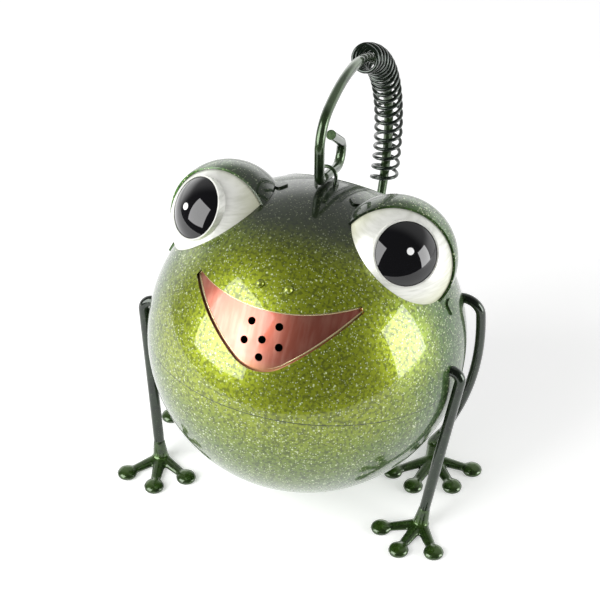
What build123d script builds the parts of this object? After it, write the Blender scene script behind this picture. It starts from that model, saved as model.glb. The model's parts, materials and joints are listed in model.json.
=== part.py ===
"""Frog watering can: pressed ball body, sprinkling mouth, bail handle with a wire grip, cast feet on wire legs."""

import os
from math import cos, radians, sin, sqrt

from build123d import *

# Ball body, millimetres. The frog faces -Y, its left side is +X, and it stands on Z = 0.
ball_radius = 80.0
ball_height = 85.0
ball_y = -28.0
sheet = 1.0

# Joint of the two pressed half shells: a plane that rises towards the face.
seam_pitch = 12.0
seam_roll = 2.0
seam_offset = -3.7
lap_height = 4.0
lap_sheet = 0.8

# Mouth plate, in a plane square to its own axis.
mouth_tilt = 36.5
mouth_upper_corner = (40.2, 24.4)
mouth_lower_corner = (42.0, 21.8)
mouth_upper_middle = 14.0
mouth_lower_middle = -15.0
mouth_cheek = (28.4, 4.0)
mouth_jaw = (11.9, -11.1)
mouth_depth = 1.8
mouth_flange_lap = 3.0
rose_hole_diameter = 3.8
rose_holes = ((0, 0), (-6.8, 7.5), (6.8, 7.5), (-8.6, -1.9), (8.6, -1.9), (0, -8.4))
nostril_side = 7.0
nostril_forward = 46.0
nostril_rise = 65.1
nostril_radius = 2.2

# Filler opening behind the head.
filler_tilt = 50.0
filler_radius = 32.5
filler_bead_radius = 1.4
filler_bead_depth = 1.2

# Eyes.
eye_side = 43.0
eye_back = 4.3
eye_rise = 56.9
eye_place = Vector(eye_side, eye_back, eye_rise)
eye_axis = Vector(0.39, -0.64, 0.662).normalized()
eye_radius = 29.2
eye_depth = 27.2
lid_gap = 0.3
lid_axis = Vector(0.24, -0.92, 0.31).normalized()
lid_reach = 8.0
pupil_axis = Vector(0.50, -0.645, 0.58).normalized()
pupil_seat_axis = Vector(0.415, -0.635, 0.652).normalized()
pupil_radius = 15.3
pupil_ring_radius = 16.1
pupil_ring_top = -2.4
pupil_ring_foot = -7.0
pupil_foot = -5.5
pupil_crown = 3.4
pupil_crown_radius = 22.0
pupil_seat_depth = 10.0
tab_width = 6.0
tab_length = 7.5
tab_corner = 1.5
tab_places = ((73.4, 3.6, 35.5), (18.5, 14.7, 70.6))
tab_reach = 5.0

# Bail handle. Angles are counted from the handle circle's own centre, 0 towards the back.
rod_diameter = 5.0
handle_radius = 78.2
handle_centre_y = 50.6
handle_centre_z = 41.2
handle_start = 105.0
handle_end = -60.0
front_hook_tip = (33.4, 98.9)
front_hook_corner = (51.3, 82.5)
front_hook_ahead = 11.3
front_hook_behind = 20.0
front_hook_fillets = [7.0, 6.0, 5.5, 17.0]
front_strand_y = 16.6
rear_hook_tip = (78.0, -53.0)
rear_hook_above = 8.65
rear_hook_below = 10.0
rear_hook_fillets = [8.0, 4.0]
rod_clearance = 0.8
front_eyelet_angle = 19.0
rear_eyelet_angle = 120.0
eyelet_wire = 1.8
eyelet_inner_half = 4.0
eyelet_foot = 2.0

# Coiled grip.
grip_wire = 1.9
grip_radius = 7.8
grip_start = 66.7
grip_end = -24.0

# Legs and feet.
front_leg_diameter = 5.5
rear_leg_diameter = 5.0
front_leg_fillets = [5.0]
rear_leg_fillets = [9.0, 160.0]
pad_radius = 5.2
pad_height = 3.8
foot_height = 2.6
toe_root_radius = 3.6
toe_tip_radius = 2.0
palm_radius = 5.5
palm_rise = 0.6
heel_radius = 4.2
heel_back = 6.0
ankle_foot_radius = 5.2
ankle_top_radius = 3.9
ankle_height = 9.0

# Places of the legs and toes on the frog's left side.
front_root = (75.0, -40.0, 93.3)
front_knee = (84.0, -40.0, 93.3)
front_ankle = (71.5, -56.5, 2.0)
front_toes = ((53.4, -65.7), (66.5, -77.5), (83.5, -73.1))
rear_root = (66.0, 2.0, 104.0)
rear_knee = (80.5, 2.0, 106.0)
rear_shin = (83.5, 2.0, 60.0)
rear_ankle = (62.0, 2.0, 2.0)
rear_palm = (64.0, -9.0)
rear_toes = ((46.7, -24.9), (59.9, -31.7), (78.9, -25.1), (85.3, -9.7))
sides = (("left", 1), ("right", -1))

os.makedirs("parts", exist_ok=True)


def from_ball(x, y, z):
    """A point given from the centre of the ball."""
    return Vector(x, ball_y + y, ball_height + z)


def mirrored(vector, side):
    return Vector(vector.X * side, vector.Y, vector.Z)


def opposite(point):
    return (-point[0], point[1])


def behind_top(angle, radius):
    """A point in the middle plane, as (y, z) from the ball's centre, at an angle behind its top."""
    return (radius * sin(radians(angle)), radius * cos(radians(angle)))


def save(builder, name):
    builder.part.label = name
    export_step(builder.part, f"parts/{name}.step")


ball_centre = from_ball(0, 0, 0)
seam_normal = Vector(sin(radians(seam_roll)), sin(radians(seam_pitch)), cos(radians(seam_pitch))).normalized()
seam_plane = Plane(origin=ball_centre + seam_normal * seam_offset, z_dir=seam_normal)
lap_top = Plane(origin=ball_centre + seam_normal * (seam_offset + lap_height), z_dir=seam_normal)
lap_foot = Plane(origin=ball_centre + seam_normal * (seam_offset - lap_height), z_dir=seam_normal)
mouth_axis = Vector(0, -cos(radians(mouth_tilt)), sin(radians(mouth_tilt)))
mouth_plane = Plane(origin=ball_centre, x_dir=(1, 0, 0), z_dir=mouth_axis)
filler_axis = Vector(0, sin(radians(filler_tilt)), cos(radians(filler_tilt)))
mouth_floor = ball_radius - mouth_depth


def mouth_outline(grow):
    """The smile, grown outwards by an amount: a shallow dip above and a deep bow below."""
    with BuildSketch() as outline:
        with BuildLine():
            ThreePointArc(opposite(mouth_upper_corner), (0, mouth_upper_middle), mouth_upper_corner)
            Line(mouth_upper_corner, mouth_lower_corner)
            ThreePointArc(mouth_lower_corner, mouth_cheek, mouth_jaw)
            ThreePointArc(mouth_jaw, (0, mouth_lower_middle), opposite(mouth_jaw))
            ThreePointArc(opposite(mouth_jaw), opposite(mouth_cheek), opposite(mouth_lower_corner))
            Line(opposite(mouth_lower_corner), opposite(mouth_upper_corner))
        make_face()
        if grow:
            offset(amount=grow)
    return outline.sketch_local


# Mouth flange: the edge of the mouth opening, turned inwards round the plate.
with BuildPart() as mouth_flange:
    with BuildSketch(mouth_plane):
        add(mouth_outline(sheet))
        add(mouth_outline(0), mode=Mode.SUBTRACT)
    extrude(amount=ball_radius + sheet)
    with Locations(ball_centre):
        Sphere(ball_radius, mode=Mode.INTERSECT)
        Sphere(mouth_floor, mode=Mode.SUBTRACT)

# Rolled bead round the filler opening, a little below the ball's surface.
bead_track = ball_radius - filler_bead_depth
bead_rise = sqrt(bead_track**2 - filler_radius**2)
bead_plane = Plane(origin=ball_centre + filler_axis * bead_rise, z_dir=filler_axis)
with BuildPart() as filler_rim:
    with Locations(bead_plane.location):
        Torus(filler_radius, filler_bead_radius)

# Upper pressed shell, with its mouth and filler openings.
with BuildPart() as upper_shell:
    with Locations(ball_centre):
        Sphere(ball_radius)
        Sphere(ball_radius - sheet, mode=Mode.SUBTRACT)
    split(bisect_by=seam_plane, keep=Keep.TOP)
    with BuildSketch(mouth_plane):
        add(mouth_outline(0))
    extrude(amount=ball_radius + sheet, mode=Mode.SUBTRACT)
    add(mouth_flange.part)
    with BuildSketch(Plane(origin=ball_centre, z_dir=filler_axis)):
        Circle(filler_radius + filler_bead_radius / 2)
    extrude(amount=ball_radius + sheet, mode=Mode.SUBTRACT)
    add(filler_rim.part, mode=Mode.SUBTRACT)

# Lower pressed bowl, with the lip that the upper shell laps over.
with BuildPart() as lap_lip:
    with Locations(ball_centre):
        Sphere(ball_radius - sheet)
        Sphere(ball_radius - sheet - lap_sheet, mode=Mode.SUBTRACT)
    split(bisect_by=lap_top, keep=Keep.BOTTOM)
    split(bisect_by=lap_foot, keep=Keep.TOP)

with BuildPart() as lower_bowl:
    with Locations(ball_centre):
        Sphere(ball_radius)
        Sphere(ball_radius - sheet, mode=Mode.SUBTRACT)
    split(bisect_by=seam_plane, keep=Keep.BOTTOM)
    add(lap_lip.part)

# Mouth plate with its ring of sprinkling holes, held behind the flange.
with BuildPart() as mouth_plate:
    with BuildSketch(mouth_plane):
        add(mouth_outline(mouth_flange_lap))
    extrude(amount=ball_radius)
    with Locations(ball_centre):
        Sphere(mouth_floor, mode=Mode.INTERSECT)
        Sphere(mouth_floor - sheet, mode=Mode.SUBTRACT)
    for across, along in rose_holes:
        outwards = sqrt(mouth_floor**2 - across**2 - along**2)
        spot = mouth_plane.from_local_coords(Vector(across, along, outwards))
        with BuildSketch(Plane(origin=ball_centre, z_dir=(spot - ball_centre).normalized())):
            Circle(rose_hole_diameter / 2)
        extrude(amount=ball_radius, mode=Mode.SUBTRACT)

# Nostrils: two small round pips.
with BuildPart() as nostril_pips:
    for _, side in sides:
        with Locations(from_ball(nostril_side * side, -nostril_forward, nostril_rise)):
            Sphere(nostril_radius)
    with Locations(ball_centre):
        Sphere(ball_radius, mode=Mode.SUBTRACT)

for builder, name in (
    (upper_shell, "upper_shell"),
    (lower_bowl, "lower_bowl"),
    (filler_rim, "filler_rim"),
    (mouth_plate, "mouth_plate"),
    (nostril_pips, "nostril_pips"),
):
    save(builder, name)


def eye_dome(side, grow):
    """A solid dome of revolution about the eye's axis, grown outwards by an amount."""
    centre = ball_centre + mirrored(eye_place, side)
    axis = mirrored(eye_axis, side)
    across = axis.cross(Vector(0, 0, 1)).normalized()
    with BuildPart() as dome:
        with BuildSketch(Plane(origin=centre, x_dir=across, z_dir=across.cross(axis))):
            Ellipse(eye_radius + grow, eye_depth + grow)
            Rectangle(ball_radius, ball_radius, align=(Align.MIN, Align.CENTER), mode=Mode.INTERSECT)
        revolve(axis=Axis(centre, axis))
    return dome.part


for side_name, side in sides:
    eye_centre = ball_centre + mirrored(eye_place, side)
    pupil_centre = eye_centre + mirrored(pupil_seat_axis, side) * eye_depth
    pupil_plane = Plane(origin=pupil_centre, z_dir=mirrored(pupil_axis, side))
    lid_normal = mirrored(lid_axis, side)

    # Pearl white of the eye: a hollow dome that stands on the ball, with a seat for the pupil.
    with BuildPart() as eye_white:
        add(eye_dome(side, 0))
        add(eye_dome(side, -sheet), mode=Mode.SUBTRACT)
        with Locations(ball_centre):
            Sphere(ball_radius, mode=Mode.SUBTRACT)
        with BuildSketch(pupil_plane):
            Circle(pupil_ring_radius)
        extrude(amount=pupil_seat_depth, both=True, mode=Mode.SUBTRACT)
    save(eye_white, f"eye_white_{side_name}")

    # Pale ring and glossy crowned pupil, seated in the white.
    with BuildPart() as eye_ring:
        with BuildSketch(pupil_plane.offset(pupil_ring_foot)):
            Circle(pupil_ring_radius)
            Circle(pupil_radius, mode=Mode.SUBTRACT)
        extrude(amount=pupil_ring_top - pupil_ring_foot)
        with Locations(ball_centre):
            Sphere(ball_radius, mode=Mode.SUBTRACT)
    save(eye_ring, f"eye_ring_{side_name}")

    with BuildPart() as pupil:
        with BuildSketch(pupil_plane.offset(pupil_foot)):
            Circle(pupil_radius)
        extrude(amount=pupil_crown - pupil_foot + sheet)
        with Locations(pupil_centre + pupil_plane.z_dir * (pupil_crown - pupil_crown_radius)):
            Sphere(pupil_crown_radius, mode=Mode.INTERSECT)
        with Locations(ball_centre):
            Sphere(ball_radius, mode=Mode.SUBTRACT)
    save(pupil, f"pupil_{side_name}")

    # Eyelid: a larger dome behind the white, cut by a plane across the brow.
    with BuildPart() as eyelid:
        add(eye_dome(side, lid_gap + sheet))
        add(eye_dome(side, lid_gap), mode=Mode.SUBTRACT)
        with Locations(ball_centre):
            Sphere(ball_radius, mode=Mode.SUBTRACT)
        split(bisect_by=Plane(origin=eye_centre + lid_normal * lid_reach, z_dir=lid_normal), keep=Keep.BOTTOM)
    save(eyelid, f"eyelid_{side_name}")

    # Bent fixing tabs at the two ends of the lid.
    with BuildPart() as eye_tabs:
        for place in tab_places:
            radial = mirrored(Vector(*place), side).normalized()
            with BuildSketch(Plane(origin=ball_centre, x_dir=Vector(0, 0, 1).cross(radial), z_dir=radial)):
                RectangleRounded(tab_width, tab_length, tab_corner)
            extrude(amount=ball_radius + tab_reach)
        with Locations(ball_centre):
            Sphere(ball_radius + sheet, mode=Mode.INTERSECT)
            Sphere(ball_radius, mode=Mode.SUBTRACT)
        add(eye_dome(side, lid_gap + sheet), mode=Mode.SUBTRACT)
    save(eye_tabs, f"eye_tabs_{side_name}")


# Bail handle: hooked under a wire eyelet at each end, in the middle plane.
hook_track = ball_radius + rod_clearance + rod_diameter / 2


def on_tangent(angle, along):
    """A point beside an eyelet, on the line that grazes the hook's track there."""
    y, z = behind_top(angle, hook_track)
    return (y + along * cos(radians(angle)), z - along * sin(radians(angle)))


def on_handle(angle, radius):
    """A point of the handle's circle, as (y, z) from the ball's centre."""
    return (handle_centre_y + radius * cos(radians(angle)), handle_centre_z + radius * sin(radians(angle)))


middle_plane = Plane(origin=ball_centre, x_dir=(0, 1, 0), z_dir=(1, 0, 0))
handle_run = handle_start - handle_end
start_y, start_z = on_handle(handle_start, handle_radius)
end_y, end_z = on_handle(handle_end, handle_radius)
start_slope = -cos(radians(handle_start)) / sin(radians(handle_start))
front_strand_top = (front_strand_y, start_z - (start_y - front_strand_y) * start_slope)
with BuildPart() as handle_rod:
    with BuildLine(middle_plane) as handle_path:
        FilletPolyline(
            front_hook_tip,
            front_hook_corner,
            on_tangent(front_eyelet_angle, front_hook_behind),
            on_tangent(front_eyelet_angle, -front_hook_ahead),
            front_strand_top,
            (start_y, start_z),
            radius=front_hook_fillets,
        )
        CenterArc((handle_centre_y, handle_centre_z), handle_radius, handle_start, -handle_run)
        FilletPolyline(
            (end_y, end_z),
            on_tangent(rear_eyelet_angle, -rear_hook_above),
            on_tangent(rear_eyelet_angle, rear_hook_below),
            rear_hook_tip,
            radius=rear_hook_fillets,
        )
    with BuildSketch(Plane(origin=handle_path.line @ 0, z_dir=handle_path.line % 0)):
        Circle(rod_diameter / 2)
    sweep(path=handle_path.line)
save(handle_rod, "handle_rod")

# Coiled wire grip, as the sleeve that its turns fill.
with BuildPart() as grip_coil:
    with BuildLine(middle_plane) as grip_path:
        CenterArc((handle_centre_y, handle_centre_z), handle_radius, grip_start, grip_end - grip_start)
    with BuildSketch(Plane(origin=grip_path.line @ 0, z_dir=grip_path.line % 0)):
        Circle(grip_radius)
        Circle(grip_radius - grip_wire, mode=Mode.SUBTRACT)
    sweep(path=grip_path.line)
save(grip_coil, "grip_coil")

# Wire eyelets: arches that stand on the ball across the hooked ends of the rod.
arch_half = eyelet_inner_half + eyelet_wire / 2
for name, angle in (("front_eyelet", front_eyelet_angle), ("rear_eyelet", rear_eyelet_angle)):
    radial_y, radial_z = behind_top(angle, 1)
    radial = Vector(0, radial_y, radial_z)
    arch_plane = Plane(origin=ball_centre, x_dir=(1, 0, 0), z_dir=Vector(1, 0, 0).cross(radial))
    with BuildPart() as eyelet:
        with BuildLine(arch_plane) as arch:
            Line((-arch_half, ball_radius - eyelet_foot), (-arch_half, hook_track))
            ThreePointArc((-arch_half, hook_track), (0, hook_track + arch_half), (arch_half, hook_track))
            Line((arch_half, hook_track), (arch_half, ball_radius - eyelet_foot))
        with BuildSketch(Plane(origin=arch.line @ 0, z_dir=arch.line % 0)):
            Circle(eyelet_wire / 2)
        sweep(path=arch.line)
        with Locations(ball_centre):
            Sphere(ball_radius, mode=Mode.SUBTRACT)
    save(eyelet, name)


def bent_rod(points, radii, diameter):
    """A round rod along filleted straight runs, cut off where it meets the ball."""
    with BuildPart() as rod:
        with BuildLine() as path:
            FilletPolyline(*points, radius=radii)
        with BuildSketch(Plane(origin=path.line @ 0, z_dir=path.line % 0)):
            Circle(diameter / 2)
        sweep(path=path.line)
        with Locations(ball_centre):
            Sphere(ball_radius, mode=Mode.SUBTRACT)
    return rod


def cast_foot(palm, heel, toes, leg, ankle):
    """A cast foot: webbed toe arms with round pads, and an ankle that the leg is cast into."""
    with BuildPart() as foot:
        for toe in toes:
            with BuildSketch():
                with Locations(palm):
                    Circle(toe_root_radius)
                with Locations(toe):
                    Circle(toe_tip_radius)
                make_hull()
            extrude(amount=foot_height)
        with BuildSketch():
            with Locations(palm):
                Circle(palm_radius)
            with Locations(heel):
                Circle(heel_radius)
            make_hull()
        extrude(amount=foot_height + palm_rise)
        cap_radius = (pad_radius**2 + pad_height**2) / (2 * pad_height)
        with Locations(*[(x, y, pad_height - cap_radius) for x, y in toes]):
            Sphere(cap_radius)
        with Locations(Location((ankle[0], ankle[1], foot_height / 2))):
            upright = (Align.CENTER, Align.CENTER, Align.MIN)
            Cone(ankle_foot_radius, ankle_top_radius, ankle_height, align=upright)
        split(bisect_by=Plane.XY, keep=Keep.TOP)
        add(leg.part, mode=Mode.SUBTRACT)
    return foot


def to_side(points, side):
    return [(point[0] * side, *point[1:]) for point in points]


for side_name, side in sides:
    front_points = to_side([front_root, front_knee, front_ankle], side)
    leg_front = bent_rod(front_points, front_leg_fillets, front_leg_diameter)
    save(leg_front, f"leg_front_{side_name}")

    rear_points = to_side([rear_root, rear_knee, rear_shin, rear_ankle], side)
    leg_rear = bent_rod(rear_points, rear_leg_fillets, rear_leg_diameter)
    save(leg_rear, f"leg_rear_{side_name}")

    palm = to_side([front_ankle[:2]], side)[0]
    foot_front = cast_foot(palm, palm, to_side(front_toes, side), leg_front, palm)
    save(foot_front, f"foot_front_{side_name}")

    palm = to_side([rear_palm], side)[0]
    ankle = to_side([rear_ankle[:2]], side)[0]
    foot_rear = cast_foot(palm, (ankle[0], ankle[1] + heel_back), to_side(rear_toes, side), leg_rear, ankle)
    save(foot_rear, f"foot_rear_{side_name}")
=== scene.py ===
import bmesh
import bpy
import json
import math
from mathutils import Matrix, Vector


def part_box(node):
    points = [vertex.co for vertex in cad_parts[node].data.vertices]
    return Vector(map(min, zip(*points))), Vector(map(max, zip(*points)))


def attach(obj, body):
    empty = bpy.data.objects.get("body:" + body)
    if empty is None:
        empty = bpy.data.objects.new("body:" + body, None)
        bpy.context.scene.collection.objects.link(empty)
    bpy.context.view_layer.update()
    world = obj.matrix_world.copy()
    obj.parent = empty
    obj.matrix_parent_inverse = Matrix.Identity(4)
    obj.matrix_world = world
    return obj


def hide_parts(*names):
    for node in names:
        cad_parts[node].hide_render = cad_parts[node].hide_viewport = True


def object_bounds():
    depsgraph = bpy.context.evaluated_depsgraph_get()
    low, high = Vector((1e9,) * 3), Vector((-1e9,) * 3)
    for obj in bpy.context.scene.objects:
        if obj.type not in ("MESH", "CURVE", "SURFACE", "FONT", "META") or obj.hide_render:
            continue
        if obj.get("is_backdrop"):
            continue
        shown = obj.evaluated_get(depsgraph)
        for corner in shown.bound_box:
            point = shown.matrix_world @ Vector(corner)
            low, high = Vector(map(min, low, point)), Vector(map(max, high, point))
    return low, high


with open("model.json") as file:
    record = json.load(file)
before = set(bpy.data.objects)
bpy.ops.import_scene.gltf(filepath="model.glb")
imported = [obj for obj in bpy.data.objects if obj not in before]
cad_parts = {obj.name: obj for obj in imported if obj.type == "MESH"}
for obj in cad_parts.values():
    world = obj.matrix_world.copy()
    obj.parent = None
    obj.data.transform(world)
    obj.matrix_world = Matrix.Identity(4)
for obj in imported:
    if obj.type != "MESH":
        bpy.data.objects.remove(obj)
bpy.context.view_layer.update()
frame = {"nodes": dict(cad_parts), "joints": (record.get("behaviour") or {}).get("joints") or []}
nodes = frame["nodes"]
print("frame loaded:", len(nodes), "nodes")

# places worked out from the frame, in metres
shellLow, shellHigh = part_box("upper_shell")
ballRadius = (shellHigh.x - shellLow.x) / 2
ballCentre = Vector((0, shellLow.y + ballRadius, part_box("lower_bowl")[0].z + ballRadius))


class Wire:
    # one shader socket, for arithmetic that adds its Math nodes
    def __init__(self, finish, socket):
        self.finish = finish
        self.socket = socket

    def math(self, operation, *others):
        values = {"i" + str(spot): value for spot, value in enumerate((self, *others))}
        return self.finish.node("ShaderNodeMath", {"operation": operation}, **values)

    def __add__(self, other):
        return self.math("ADD", other)

    def __radd__(self, other):
        return self.math("ADD", other)

    def __sub__(self, other):
        return self.math("SUBTRACT", other)

    def __rsub__(self, other):
        return self * -1 + other

    def __mul__(self, other):
        return self.math("MULTIPLY", other)

    def __rmul__(self, other):
        return self.math("MULTIPLY", other)

    def ramp(self, low, high):
        # 0 below low, 1 above high, smooth between
        reach = {"Value": self, "From_Min": low, "From_Max": high}
        return self.finish.node("ShaderNodeMapRange", {"interpolation_type": "SMOOTHSTEP"}, "Result", **reach)


class Finish:
    # the nodes of one material or world, called its block
    def __init__(self, block, shader, coords):
        block.use_nodes = True
        self.block = block
        self.tree = block.node_tree
        self.shader = self.tree.nodes[shader]
        self.place = self.node("ShaderNodeTexCoord", None, coords)

    def plug(self, target, value):
        if isinstance(value, Wire):
            self.tree.links.new(value.socket, target)
        elif isinstance(value, (int, float)):
            target.default_value = value
        else:
            wanted = len(target.default_value)
            target.default_value = tuple(value)[:wanted] if len(value) >= wanted else (*value, 1.0)

    def node(self, kind, settings=None, output=0, **sockets):
        # sockets go by name, with _ for a space, or by number as i0, i1
        made = self.tree.nodes.new(kind)
        for key, value in (settings or {}).items():
            setattr(made, key, value)
        for key, value in sockets.items():
            spot = int(key[1:]) if key[0] == "i" and key[1:].isdigit() else key.replace("_", " ")
            self.plug(made.inputs[spot], value)
        return Wire(self, made.outputs[output])

    def vector(self, operation, first, second=(0, 0, 0), output=0):
        return self.node("ShaderNodeVectorMath", {"operation": operation}, output, i0=first, i1=second)

    def mix(self, factor, first, second):
        return self.node("ShaderNodeMix", {"data_type": "RGBA"}, 2, i0=factor, i6=first, i7=second)

    def split(self, vector):
        across = self.node("ShaderNodeSeparateXYZ", i0=vector)
        return [Wire(self, socket) for socket in across.socket.node.outputs]

    def noise(self, scale, detail=2.0, vector=None, output=0):
        where = vector or self.place
        return self.node("ShaderNodeTexNoise", None, output, Vector=where, Scale=scale, Detail=detail)

    def distance(self, point):
        return self.vector("DISTANCE", self.place, point, output=1)

    def set(self, **sockets):
        for key, value in sockets.items():
            self.plug(self.shader.inputs[key.replace("_", " ")], value)

    def bump(self, height, strength, distance):
        self.set(Normal=self.node("ShaderNodeBump", Height=height, Strength=strength, Distance=distance))


def newFinish(name):
    return Finish(bpy.data.materials.new(name), "Principled BSDF", "Object")


# candy lacquer, lime on the face and deep green on crown and sides, with pale flecks
bodyPaint = {
    "lime": (0.31, 0.375, 0.014),
    "green": (0.040, 0.115, 0.012),
    # dark green paint of the crown and the mottle, also used as painted shade on the seam line and the inner
    # walls
    "dark": (0.008, 0.016, 0.006),
    "fleck": (0.70, 0.78, 0.48),
    "faceAxis": (0.10, -0.83, 0.47),
    "coarse": 430,
    "fine": 1000,
    "ragged": 0.0009,
    # radii below which the inner walls of the shell get painted shade
    "shadedInnerWall": (0.0794, 0.0797),
}
# plane of the seam between the shells, and the width of its painted shadow line
seam = {"pitch": 12, "roll": 2, "offset": -0.0037, "width": 0.0003}


def candyPaint(name, glow=1.0):
    f = newFinish(name)
    u = f.vector("NORMALIZE", f.vector("SUBTRACT", f.place, ballCentre))
    facing = f.vector("DOT_PRODUCT", u, Vector(bodyPaint["faceAxis"]).normalized(), output=1)
    drift = f.noise(26, 3) - 0.5
    cloud = f.noise(150, 3) - 0.5
    axes = f.split(u)
    lower = (axes[2] + cloud * 0.3).ramp(-0.25, 0.35) * 0.62 + 0.38
    lime = (facing + drift * 0.3 + cloud * 0.25).ramp(0.30, 0.86) * glow * lower
    crown = (axes[2] + drift * 0.1 + cloud * 0.08).ramp(0.82, 0.97)
    crown = crown * (axes[1] + drift * 0.12).ramp(-0.62, -0.12)
    base = f.mix(lime, bodyPaint["green"], bodyPaint["lime"])
    base = f.mix(crown * 0.94, base, bodyPaint["dark"])
    mottle = f.noise(620, 4).ramp(0.42, 0.64)
    base = f.mix(mottle * 0.6, base, bodyPaint["dark"])
    small = flecks(f, bodyPaint["fine"], 0.16, 0.40, 0.50)
    big = flecks(f, bodyPaint["coarse"], 0.10, 0.30, 0.62)
    spots = small.math("MAXIMUM", big) * (1 - crown * 0.75)
    # painted shadow: a thin dark line along the seam, where the upper shell laps over the lower bowl; the bump
    # also sinks it as a groove
    seamShadowLine = 1 - seamDistance(f).ramp(seam["width"] * 0.5, seam["width"])
    base = f.mix(spots * 0.85, base, bodyPaint["fleck"])
    # painted shade: the inner walls of the shell, such as the sides of the mouth opening, get the dark colour
    innerWallShade = 1 - f.distance(ballCentre).ramp(*bodyPaint["shadedInnerWall"])
    base = f.mix(seamShadowLine.math("MAXIMUM", innerWallShade) * 0.9, base, bodyPaint["dark"])
    f.set(Base_Color=base, Metallic=0.70 - spots * 0.5)
    f.set(Roughness=0.36 + mottle * 0.1, Coat_Weight=1.0, Coat_Roughness=0.03, Coat_IOR=1.5)
    f.bump(f.noise(240, 2) * 0.15 + spots * 0.05 - seamShadowLine * 2.0, 0.35, 0.0003)
    return f.block


def seamDistance(f):
    pitch, roll = math.radians(seam["pitch"]), math.radians(seam["roll"])
    normal = Vector((math.sin(roll), math.sin(pitch), math.cos(pitch))).normalized()
    height = f.vector("DOT_PRODUCT", f.vector("SUBTRACT", f.place, ballCentre), normal, output=1)
    return (height - seam["offset"]).math("ABSOLUTE")


def flecks(f, scale, core, edge, rarity):
    blur = f.vector("MULTIPLY", f.noise(scale * 0.9, 2, output=1), (bodyPaint["ragged"],) * 3)
    wobble = f.vector("ADD", f.place, blur)
    cell = f.node("ShaderNodeTexVoronoi", None, "Distance", Vector=wobble, Scale=scale)
    tint = f.split(f.node("ShaderNodeTexVoronoi", None, "Color", Vector=wobble, Scale=scale))[0]
    return (1 - cell.ramp(core, edge)) * tint.ramp(rarity, rarity + 0.25)


# copper lacquer of the mouth: rose in the middle, gold near its lower edge
copperLook = {"rose": (0.47, 0.13, 0.085), "gold": (0.60, 0.33, 0.14), "pale": (0.66, 0.33, 0.25)}


def copperPaint(name):
    f = newFinish(name)
    z = f.split(f.place)[2]
    low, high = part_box("mouth_plate")
    height = (z - low.z) * (1 / (high.z - low.z))
    streaks = f.noise(70, 4, f.vector("MULTIPLY", f.place, (5, 0.8, 0.8)))
    clouds = f.noise(55, 3)
    worn = streaks.ramp(0.35, 0.70) * 0.35 + clouds.ramp(0.45, 0.75) * 0.4
    base = f.mix(worn, copperLook["rose"], copperLook["pale"])
    base = f.mix((1 - height.ramp(0.04, 0.32)) * 0.7, base, copperLook["gold"])
    f.set(Base_Color=base, Metallic=0.92, Roughness=0.30 + streaks * 0.12, Coat_Weight=0.7, Coat_Roughness=0.06)
    f.bump(streaks + clouds, 0.05, 0.0003)
    return f.block


# pearl lacquer of the eye whites, brushed, with painted shade in darker cream towards its edges
pearlLook = {
    "white": (0.89, 0.895, 0.84),
    "edgeShadeCream": (0.66, 0.67, 0.44),
    "shade": (0.56, 0.57, 0.51),
    "reach": 0.030,
}


def pearlPaint(name, centre):
    f = newFinish(name)
    away = f.distance(centre)
    brushed = f.noise(110, 4, f.vector("MULTIPLY", f.place, (1, 1, 7)))
    patch = f.noise(45, 2)
    # painted shade: darker cream further from the pupil, towards the edges under the lid and at the body
    edge = (away + (brushed + patch) * 0.004).ramp(pearlLook["reach"] * 0.72, pearlLook["reach"] * 1.22)
    base = f.mix(brushed.ramp(0.38, 0.72) * 0.5, pearlLook["white"], pearlLook["shade"])
    base = f.mix(edge * 0.85, base, pearlLook["edgeShadeCream"])
    f.set(Base_Color=base, Metallic=0.2, Roughness=0.24 + brushed * 0.16, Coat_Weight=0.6, Coat_Roughness=0.05)
    f.bump(brushed, 0.08, 0.0003)
    return f.block


# gloss black enamel with a painted white dot
pupilLook = {
    "black": (0.0025, 0.0025, 0.0035),
    "white": (0.95, 0.95, 0.94),
    "dotRadius": 0.0018,
    "left": (0.0559, -0.0423, 0.1626),
    "right": (-0.0567, -0.0433, 0.1608),
}


def pupilEnamel(name, dot):
    f = newFinish(name)
    mark = 1 - f.distance(dot).ramp(pupilLook["dotRadius"] * 0.94, pupilLook["dotRadius"] * 1.04)
    wipe = f.noise(140, 2)
    f.set(Base_Color=f.mix(mark, pupilLook["black"], pupilLook["white"]), Roughness=0.03 + wipe * 0.03)
    f.set(Coat_Weight=1.0, Coat_Roughness=0.02, Coat_IOR=1.5, Specular_IOR_Level=0.1)
    return f.block


# lacquer of rod and wire, worn in streaks: colour, colour of the streaks, roughness
wireLooks = {
    "lip": ((0.86, 0.74, 0.44), (0.62, 0.44, 0.22), 0.22),
    "rod": ((0.045, 0.085, 0.028), (0.012, 0.026, 0.010), 0.18),
    "coil": ((0.010, 0.022, 0.012), (0.004, 0.009, 0.005), 0.18),
    "leg": ((0.010, 0.022, 0.009), (0.004, 0.009, 0.005), 0.16),
    "pits": (0.30, 0.36, 0.24),
}


def wirePaint(look):
    f = newFinish(look + "_lacquer")
    colour, streaks, roughness = wireLooks[look]
    worn = f.noise(110, 5).ramp(0.42, 0.7)
    grain = f.noise(700, 3)
    pits = f.noise(1500, 2).ramp(0.62, 0.72)
    base = f.mix(pits * 0.35, f.mix(worn, colour, streaks), wireLooks["pits"])
    f.set(Base_Color=base, Metallic=0.7, Roughness=roughness + grain * 0.12)
    f.set(Coat_Weight=1.0, Coat_Roughness=0.05)
    f.bump(grain, 0.15, 0.0002)
    return f.block


# lacquer over cast metal, greener on the pads between two heights
castLook = {
    "dark": (0.020, 0.042, 0.010),
    "green": (0.035, 0.075, 0.012),
    "pad": (0.06, 0.13, 0.012),
    "padFrom": (0.0024, 0.0038),
    "padTo": (0.0042, 0.0070),
}


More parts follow.
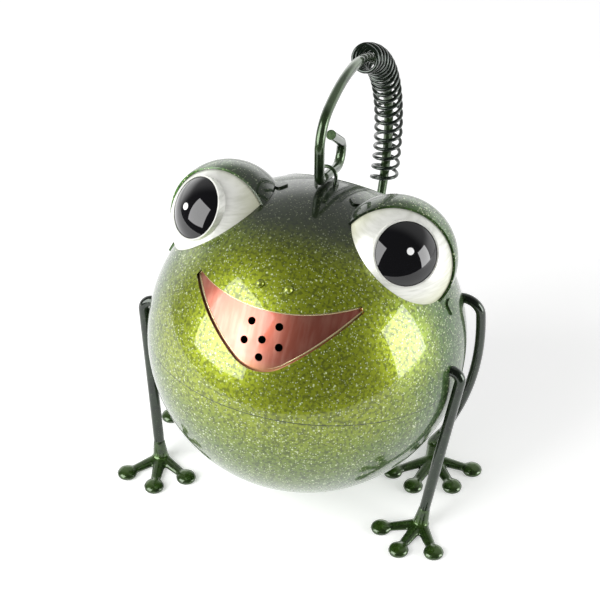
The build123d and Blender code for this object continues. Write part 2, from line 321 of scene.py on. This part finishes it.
def castPaint():
    f = newFinish("foot_lacquer")
    grain = f.noise(380, 5)
    height = f.split(f.place)[2]
    pad = height.ramp(*castLook["padFrom"]) * (1 - height.ramp(*castLook["padTo"]))
    base = f.mix(grain.ramp(0.35, 0.65), castLook["dark"], castLook["green"])
    base = f.mix(pad * 0.7, base, castLook["pad"])
    f.set(Base_Color=base, Metallic=0.65, Roughness=0.20 + grain * 0.16)
    f.set(Coat_Weight=1.0, Coat_Roughness=0.06)
    f.bump(grain, 0.3, 0.0005)
    return f.block


def dress(name, material):
    node = nodes[name]
    node.data.materials.clear()
    node.data.materials.append(material)


bodyFinish = candyPaint("body_candy")
lidFinish = candyPaint("lid_candy", glow=0.3)
lipFinish, rodFinish, coilFinish, legFinish = (wirePaint(look) for look in ("lip", "rod", "coil", "leg"))
footFinish = castPaint()
for name in ("upper_shell", "lower_bowl", "filler_rim", "nostril_pips"):
    dress(name, bodyFinish)
for name in ("handle_rod", "front_eyelet", "rear_eyelet"):
    dress(name, rodFinish)
dress("mouth_plate", copperPaint("mouth_copper"))
for side in ("left", "right"):
    for end in ("front_", "rear_"):
        dress("leg_" + end + side, legFinish)
        dress("foot_" + end + side, footFinish)
    dress("eyelid_" + side, lidFinish)
    dress("eye_tabs_" + side, bodyFinish)
    low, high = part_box("pupil_" + side)
    pearl = pearlPaint("pearl_" + side, (low + high) / 2)
    dress("eye_white_" + side, pearl)
    dress("eye_ring_" + side, pearl)
    dress("pupil_" + side, pupilEnamel("pupil_" + side + "_enamel", pupilLook[side]))
print("frame dressed")

# wire coil of the grip
coil = {
    "turns": 20,
    "perTurn": 14,
    "wire": 0.00100,
    "radius": 0.00705,
    "rod": 0.0025,
    "start": 66.0,
    "end": -23.3,
}


def gripCoil():
    hinge = next(j for j in frame["joints"] if j["name"] == "grip_slide")
    centre = Vector(hinge["pos_m"])
    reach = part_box("handle_rod")[1].z - centre.z - coil["rod"]
    curve = bpy.data.curves.new("gripCoil", "CURVE")
    curve.dimensions = "3D"
    curve.bevel_depth = coil["wire"]
    curve.bevel_resolution = 3
    curve.use_fill_caps = True
    spline = curve.splines.new("NURBS")
    count = coil["turns"] * coil["perTurn"]
    spline.points.add(count)
    for n in range(count + 1):
        along = math.radians(coil["start"] + (coil["end"] - coil["start"]) * n / count)
        turn = 2 * math.pi * n / coil["perTurn"]
        out = reach + coil["radius"] * math.cos(turn)
        point = centre + Vector((coil["radius"] * math.sin(turn), out * math.cos(along), out * math.sin(along)))
        spline.points[n].co = (*point, 1)
    spline.order_u = 4
    spline.use_endpoint_u = True
    spline.resolution_u = 3
    piece = bpy.data.objects.new("grip_wire", curve)
    bpy.context.scene.collection.objects.link(piece)
    curve.materials.append(coilFinish)
    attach(piece, "grip")
    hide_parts("grip_coil")
    print("coil wound")


gripCoil()

# thin raised edge of the mouth plate, along the arcs of its outline; places of one half in millimetres
lip = {
    "tilt": 36.5,
    "radius": 0.0786,
    "inset": 0.0009,
    "wire": 0.00055,
    "upperMiddle": (0, 14.0),
    "upperCorner": (40.2, 24.4),
    "lowerCorner": (42.0, 21.8),
    "cheek": (28.4, 4.0),
    "jaw": (11.9, -11.1),
    "lowerMiddle": (0, -15.0),
    "perArc": 32,
    "perCorner": 4,
}


def lipOutline():
    here = {key: value for key, value in lip.items() if isinstance(value, tuple)}
    there = {key: (-x, y) for key, (x, y) in here.items()}
    points = arcPoints(there["upperCorner"], here["upperMiddle"], here["upperCorner"], lip["perArc"])
    points += straightPoints(here["upperCorner"], here["lowerCorner"])
    points += arcPoints(here["lowerCorner"], here["cheek"], here["jaw"], lip["perArc"])
    points += arcPoints(here["jaw"], here["lowerMiddle"], there["jaw"], lip["perArc"])
    points += arcPoints(there["jaw"], there["cheek"], there["lowerCorner"], lip["perArc"])
    points += straightPoints(there["lowerCorner"], there["upperCorner"])
    return [p / 1000 for p in points]


def straightPoints(first, last):
    return [Vector(first).lerp(Vector(last), n / lip["perCorner"]) for n in range(lip["perCorner"])]


def arcPoints(first, middle, last, count):
    # points along the circle through three places, leaving out the last one
    a, b, c = (Vector(p) for p in (first, middle, last))
    ab, bc = b - a, c - b
    turn = 2 * (ab.x * bc.y - ab.y * bc.x)
    sa, sb, sc = a.length_squared, b.length_squared, c.length_squared
    centre = Vector((
        (sa * (b.y - c.y) + sb * (c.y - a.y) + sc * (a.y - b.y)) / turn,
        (sa * (c.x - b.x) + sb * (a.x - c.x) + sc * (b.x - a.x)) / turn,
    ))
    sweep = (a - centre).angle_signed(c - centre)
    return [centre + Matrix.Rotation(-sweep * n / count, 2) @ (a - centre) for n in range(count)]


def mouthLip():
    tilt = math.radians(lip["tilt"])
    out = Vector((0, -math.cos(tilt), math.sin(tilt)))
    upward = out.cross(Vector((1, 0, 0)))
    outline = lipOutline()
    places = []
    for n, p in enumerate(outline):
        along = (outline[(n + 1) % len(outline)] - outline[n - 1]).normalized()
        places.append(p + Vector((along.y, -along.x)) * lip["inset"])
    curve = bpy.data.curves.new("mouthLip", "CURVE")
    curve.dimensions = "3D"
    curve.bevel_depth = lip["wire"]
    curve.bevel_resolution = 3
    spline = curve.splines.new("POLY")
    spline.points.add(len(places) - 1)
    for n, p in enumerate(places):
        depth = math.sqrt(lip["radius"] ** 2 - p.length_squared)
        spline.points[n].co = (*(ballCentre + Vector((1, 0, 0)) * p.x + upward * p.y + out * depth), 1)
    spline.use_cyclic_u = True
    piece = bpy.data.objects.new("mouth_lip", curve)
    bpy.context.scene.collection.objects.link(piece)
    curve.materials.append(lipFinish)
    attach(piece, "can")
    print("lip rolled")


mouthLip()

# cast feet: round arms that run into each other, flat pads and a flared ankle; all in millimetres
feet = {
    "front": {
        "palm": (71.5, -56.5),
        "ankle": (71.5, -56.5),
        "shin": (84.0, -40.0, 93.3),
        "flare": 4.3,
        "toes": ((53.4, -65.7), (66.5, -77.5), (83.5, -73.1)),
    },
    "rear": {
        "palm": (64.0, -9.0),
        "ankle": (62.0, 2.0),
        "shin": (83.5, 2.0, 60.0),
        "flare": 4.9,
        "toes": ((46.7, -24.9), (59.9, -31.7), (78.9, -25.1), (85.3, -9.7)),
    },
    "palmHeight": 1.3,
    "ankleHeight": 2.0,
    "toeHeight": 1.1,
    "arm": (3.8, 2.6, 0.62, 14),  # first radius, last radius, flatness, steps
    "pad": (5.5, 5.5, 0.52, 1),
    "heel": (4.8, 4.6, 0.60, 6),
    "socket": {"length": 9.0, "radius": 3.15, "steps": 10},
    "grain": 0.55,
    "softening": 7,
    "soleHeight": 0.02,
}


def blobChain(bm, start, end, radiusStart, radiusEnd, squash, count):
    # a row of flattened balls between two places, close enough to melt together
    for n in range(count + 1):
        t = n / count
        place = start.lerp(end, t)
        radius = radiusStart + (radiusEnd - radiusStart) * t
        size = Matrix.Diagonal((radius, radius, radius * squash, 1))
        bmesh.ops.create_icosphere(bm, subdivisions=2, radius=1, matrix=Matrix.Translation(place) @ size)


def meltedMesh(bm, name):
    # the shape as one skin, smoothed and cut flat where it stands
    mesh = bpy.data.meshes.new(name)
    bm.to_mesh(mesh)
    bm.free()
    rough = bpy.data.objects.new(name, mesh)
    bpy.context.scene.collection.objects.link(rough)
    melt = rough.modifiers.new("melt", "REMESH")
    melt.mode = "VOXEL"
    melt.voxel_size = feet["grain"]
    soften = rough.modifiers.new("soften", "SMOOTH")
    soften.iterations = feet["softening"]
    soften.factor = 0.6
    skin = bpy.data.meshes.new_from_object(rough.evaluated_get(bpy.context.evaluated_depsgraph_get()))
    bpy.data.objects.remove(rough)
    bm = bmesh.new()
    bm.from_mesh(skin)
    everything = bm.verts[:] + bm.edges[:] + bm.faces[:]
    sole = (0, 0, feet["soleHeight"])
    cut = bmesh.ops.bisect_plane(bm, geom=everything, plane_co=sole, plane_no=(0, 0, 1), clear_inner=True)
    rim = [g for g in cut["geom_cut"] if isinstance(g, bmesh.types.BMEdge)]
    bmesh.ops.holes_fill(bm, edges=rim)
    bmesh.ops.scale(bm, vec=(0.001, 0.001, 0.001), verts=bm.verts)
    bmesh.ops.recalc_face_normals(bm, faces=bm.faces)
    for face in bm.faces:
        face.smooth = abs(face.normal.z + 1) > 0.01
    bm.to_mesh(skin)
    bm.free()
    return skin


def castFoot(end, side):
    foot = feet[end]
    turn = 1 if side == "left" else -1
    palm = Vector((foot["palm"][0] * turn, foot["palm"][1], feet["palmHeight"]))
    ankle = Vector((foot["ankle"][0] * turn, foot["ankle"][1], feet["ankleHeight"]))
    shin = Vector((foot["shin"][0] * turn, *foot["shin"][1:]))
    socket = feet["socket"]
    top = ankle + (shin - ankle).normalized() * socket["length"]
    bm = bmesh.new()
    for x, y in foot["toes"]:
        toe = Vector((x * turn, y, feet["toeHeight"]))
        blobChain(bm, palm, toe, *feet["arm"])
        blobChain(bm, toe, toe + Vector((0, 0, 0.05)), *feet["pad"])
    blobChain(bm, palm, ankle, *feet["heel"])
    blobChain(bm, ankle, top, foot["flare"], socket["radius"], 1.0, socket["steps"])
    name = "cast_foot_" + end + "_" + side
    skin = meltedMesh(bm, name)
    piece = bpy.data.objects.new(name, skin)
    bpy.context.scene.collection.objects.link(piece)
    skin.materials.clear()
    skin.materials.append(footFinish)
    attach(piece, "can")
    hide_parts("foot_" + end + "_" + side)


for side in ("left", "right"):
    castFoot("front", side)
    castFoot("rear", side)
print("feet cast")

# floor, two softboxes and a pale room that is bright behind the frog
studio = {
    "floor": 1.0,
    "floorBack": 0.60,
    "floorGlow": 0.42,
    "aim": (0, 0, 0.09),
    "boxes": {
        "box_right": {"place": (0.95, 0.01, 0.20), "width": 0.44, "height": 0.66, "radiance": 7.2},
        "box_left": {"place": (-0.58, -0.65, 0.48), "width": 0.76, "height": 0.90, "radiance": 5.8},
    },
    "roomBack": 1.5,
    "roomFill": 0.10,
}


def softbox(name, place, width, height, radiance):
    light = bpy.data.lights.new(name, "AREA")
    light.shape = "RECTANGLE"
    light.size = width
    light.size_y = height
    light.energy = radiance * math.pi * width * height
    lamp = bpy.data.objects.new(name, light)
    lamp.location = place
    lamp.rotation_euler = (Vector(studio["aim"]) - Vector(place)).to_track_quat("-Z", "Y").to_euler()
    bpy.context.scene.collection.objects.link(lamp)


def studioSet():
    bm = bmesh.new()
    bmesh.ops.create_circle(bm, cap_ends=True, segments=96, radius=studio["floor"])
    bmesh.ops.translate(bm, verts=bm.verts, vec=(0, studio["floorBack"], 0))
    mesh = bpy.data.meshes.new("floor")
    bm.to_mesh(mesh)
    bm.free()
    floor = bpy.data.objects.new("floor", mesh)
    bpy.context.scene.collection.objects.link(floor)
    f = newFinish("pale_floor")
    f.set(Base_Color=f.mix(f.noise(6, 2), (0.90, 0.90, 0.90), (0.93, 0.93, 0.93)), Roughness=0.8)
    f.set(Specular_IOR_Level=0.1, Emission_Color=(1, 1, 1), Emission_Strength=studio["floorGlow"])
    mesh.materials.append(f.block)
    floor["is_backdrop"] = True
    for name, box in studio["boxes"].items():
        softbox(name, **box)
    room = Finish(bpy.data.worlds.new("studio"), "Background", "Generated")
    bpy.context.scene.world = room.block
    seen = room.node("ShaderNodeLightPath", None, "Is Camera Ray")
    across, along, up = room.split(room.place)
    dusk = 1 - up.ramp(0.16, 0.50) * 0.7
    lit = along.ramp(-0.05, 0.45) * dusk * studio["roomBack"] + studio["roomFill"]
    room.set(Color=(1, 1, 1), Strength=seen + (1 - seen) * lit)


# the camera stands in front, above and a little to the frog's left
lens = {
    "place": (0.2547, -0.7446, 0.7346),
    "right": (0.9406, 0.3394, 0.0),
    "back": (0.2617, -0.7253, 0.6368),
    "sensor": 36,
    "focal": 119.62,
    "clip": (0.05, 20),
}


def camera():
    data = bpy.data.cameras.new("camera")
    data.sensor_width = lens["sensor"]
    data.lens = lens["focal"]
    data.clip_start, data.clip_end = lens["clip"]
    view = bpy.data.objects.new("camera", data)
    right = Vector(lens["right"]).normalized()
    back = Vector(lens["back"]).normalized()
    up = back.cross(right)
    turn = Matrix((right, up, back)).transposed()
    view.matrix_world = Matrix.Translation(lens["place"]) @ turn.to_4x4()
    bpy.context.scene.collection.objects.link(view)
    bpy.context.scene.camera = view


studioSet()
camera()
bpy.context.scene.view_settings.view_transform = "Standard"
print("studio lit")

low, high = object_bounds()
